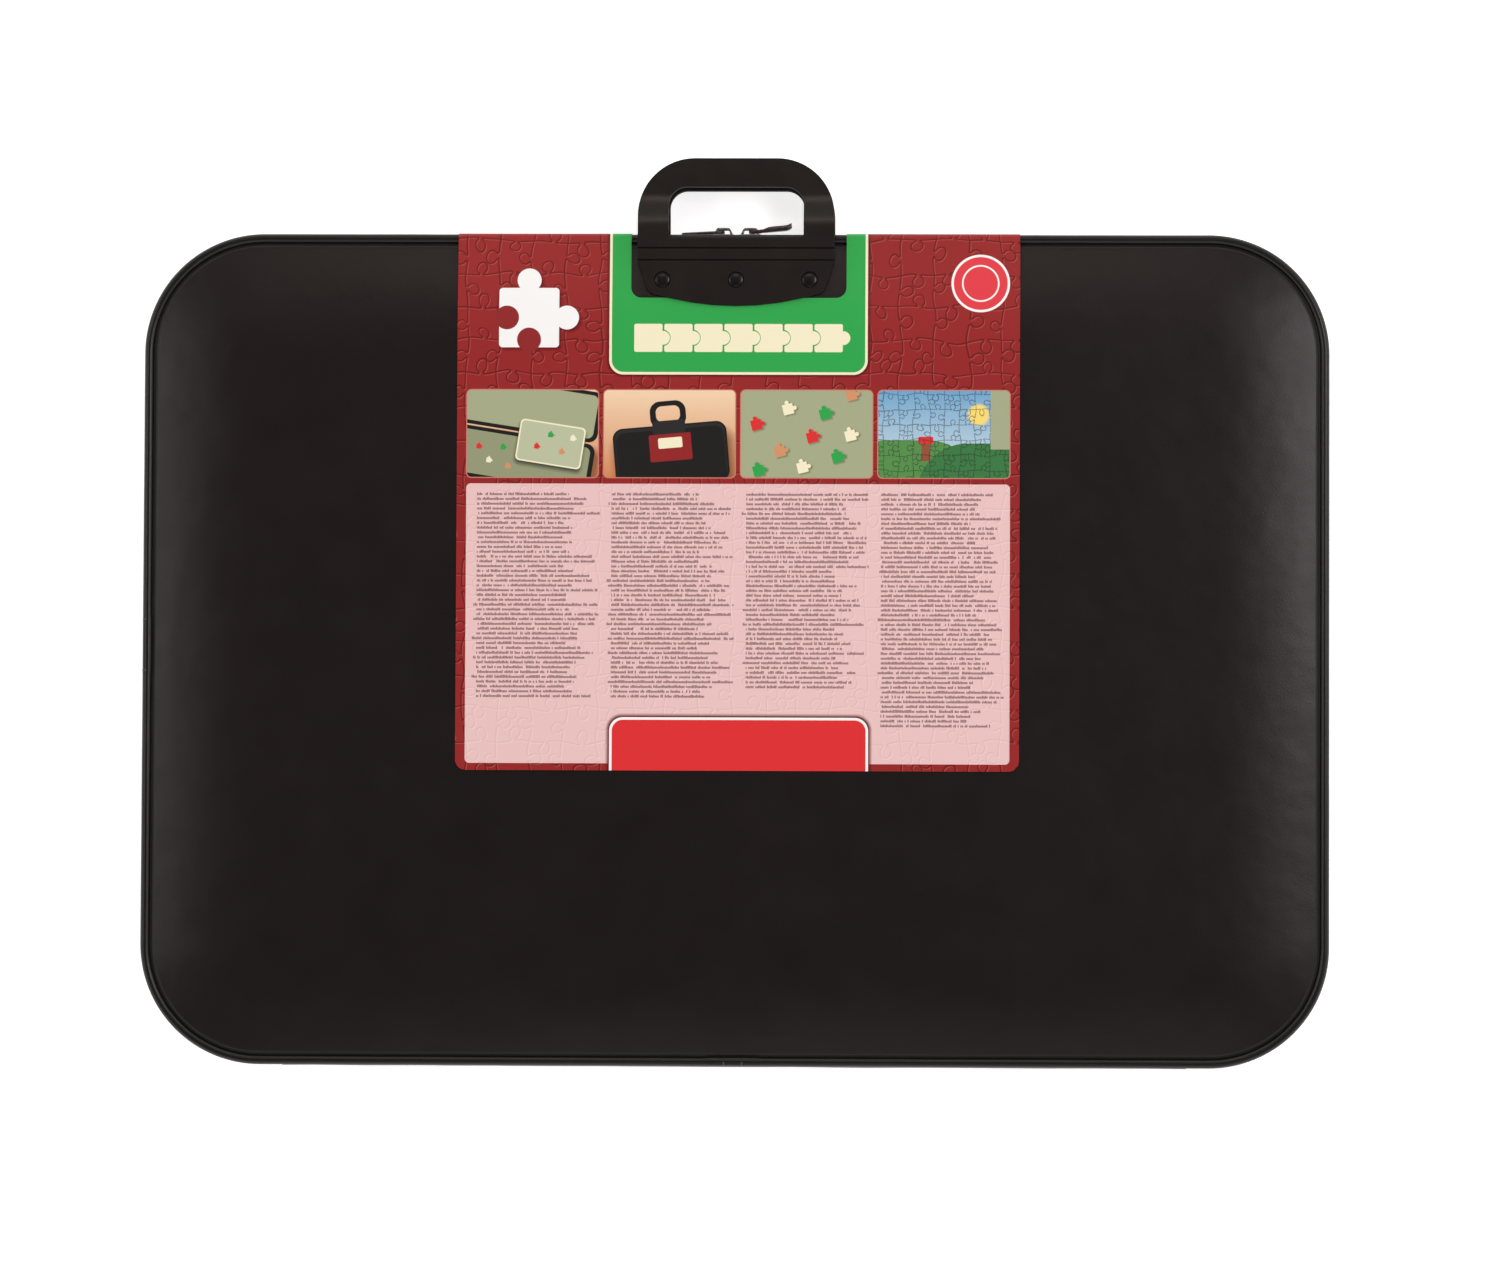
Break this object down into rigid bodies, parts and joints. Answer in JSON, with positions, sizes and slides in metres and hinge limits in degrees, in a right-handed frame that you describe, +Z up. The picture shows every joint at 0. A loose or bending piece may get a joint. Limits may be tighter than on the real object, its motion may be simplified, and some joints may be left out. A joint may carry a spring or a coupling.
{
  "type": "jigsaw puzzle carry case",
  "caption": "Flat padded zip case with a hinged lid, plastic carry handles, felt lining, loose sorting panels and a printed card sleeve.",
  "frame": {"origin": "on the rest face, under the middle of the case's outline", "axes": "+X along the long side, +Y from the hinge edge to the handles, +Z up from the rear face to the lid"},
  "size_m": [0.7904, 0.6053, 0.0408],
  "materials": {
    "leatherette": "satin",
    "piping": "satin",
    "foam": "matte",
    "stiffener": "matte",
    "felt": "matte",
    "tape": "matte",
    "coil": "satin",
    "zip_metal": "satin",
    "handle": "satin",
    "rivet": "satin",
    "washer": "satin",
    "card": "gloss",
    "panel_core": "matte"
  },
  "bodies": {
    "tray": {"tray_cover": "leatherette", "tray_padding": "foam", "tray_board": "stiffener", "tray_lining": "felt", "tray_side_wall": "leatherette", "tray_piping": "piping", "tray_piping_sleeve": "piping", "tray_zip_tape": "tape", "tray_zip_coil": "coil", "tray_zip_stops": "zip_metal", "tray_spine_strip": "leatherette", "tray_handle_plate": "handle", "tray_rivets": "rivet", "tray_washers": "washer", "tray_card": "card"},
    "lid": {"lid_cover": "leatherette", "lid_padding": "foam", "lid_board": "stiffener", "lid_lining": "felt", "lid_side_wall": "leatherette", "lid_piping": "piping", "lid_piping_sleeve": "piping", "lid_zip_tape": "tape", "lid_zip_coil": "coil", "lid_zip_stops": "zip_metal", "lid_spine_strip": "leatherette", "lid_handle_plate": "handle", "lid_rivets": "rivet", "lid_washers": "washer", "lid_card": "card"},
    "tray_grip": {"tray_grip": "handle"},
    "lid_grip": {"lid_grip": "handle"},
    "left_slider": {"left_slider": "zip_metal", "left_slider_bridge": "zip_metal"},
    "left_pull": {"left_pull": "zip_metal"},
    "left_panel": {"left_panel_board": "panel_core", "left_panel_felt": "felt"},
    "right_slider": {"right_slider": "zip_metal", "right_slider_bridge": "zip_metal"},
    "right_pull": {"right_pull": "zip_metal"},
    "right_panel": {"right_panel_board": "panel_core", "right_panel_felt": "felt"}
  },
  "joints": [
    {"name": "lid_hinge", "type": "hinge", "parent": "tray", "child": "lid", "pos_m": [0, -0.2777, 0.0204], "axis": [1, 0, 0], "range_deg": [0, 180]},
    {"name": "tray_grip_flex", "type": "hinge", "parent": "tray", "child": "tray_grip", "pos_m": [0, 0.2632, 0.0033], "axis": [1, 0, 0], "range_deg": [0, 8], "stiffness_Nm_per_rad": 6},
    {"name": "lid_grip_flex", "type": "hinge", "parent": "lid", "child": "lid_grip", "pos_m": [0, 0.2632, 0.0375], "axis": [-1, 0, 0], "range_deg": [0, 8], "stiffness_Nm_per_rad": 6},
    {"name": "left_slider_run", "type": "slide", "parent": "tray", "child": "left_slider", "axis": [-1, 0, 0], "range_m": [0, 0.28]},
    {"name": "left_pull_swing", "type": "hinge", "parent": "left_slider", "child": "left_pull", "pos_m": [-0.009, 0.2795, 0.0204], "axis": [0, 0, -1], "range_deg": [0, 150]},
    {"name": "left_panel_lift", "type": "slide", "parent": "tray", "child": "left_panel", "axis": [0, 0, 1], "range_m": [0, 0.008]},
    {"name": "right_slider_run", "type": "slide", "parent": "tray", "child": "right_slider", "axis": [1, 0, 0], "range_m": [0, 0.28]},
    {"name": "right_pull_swing", "type": "hinge", "parent": "right_slider", "child": "right_pull", "pos_m": [0.009, 0.2795, 0.0204], "axis": [0, 0, 1], "range_deg": [0, 150]},
    {"name": "right_panel_lift", "type": "slide", "parent": "tray", "child": "right_panel", "axis": [0, 0, 1], "range_m": [0, 0.008]}
  ]
}
